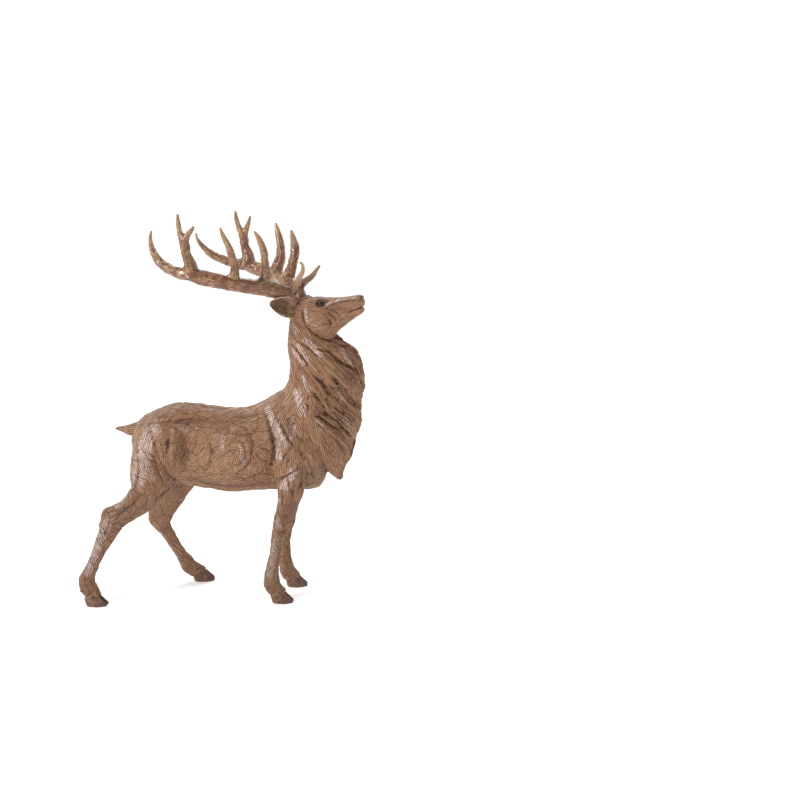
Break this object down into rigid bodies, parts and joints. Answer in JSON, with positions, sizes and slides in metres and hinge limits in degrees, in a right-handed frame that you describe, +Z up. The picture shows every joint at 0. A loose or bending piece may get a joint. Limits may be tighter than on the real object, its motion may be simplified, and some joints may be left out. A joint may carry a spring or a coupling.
{
  "type": "resin deer statue",
  "caption": "Statue of a walking stag with lifted head, ruffed neck and swept-back antlers, cast in one piece of resin with a carved-wood finish, standing on its hooves.",
  "frame": {"origin": "on the ground, under the middle of the bounding box", "axes": "+Z up, +X towards the stag's nose, -Y towards the stag's right side"},
  "size_m": [0.4372, 0.2276, 0.5917],
  "materials": {
    "resin": "brown with a pale rubbed sheen, gold rubbed antlers and dark hooves"
  },
  "bodies": {
    "root": {"stag": "resin"}
  },
  "joints": []
}
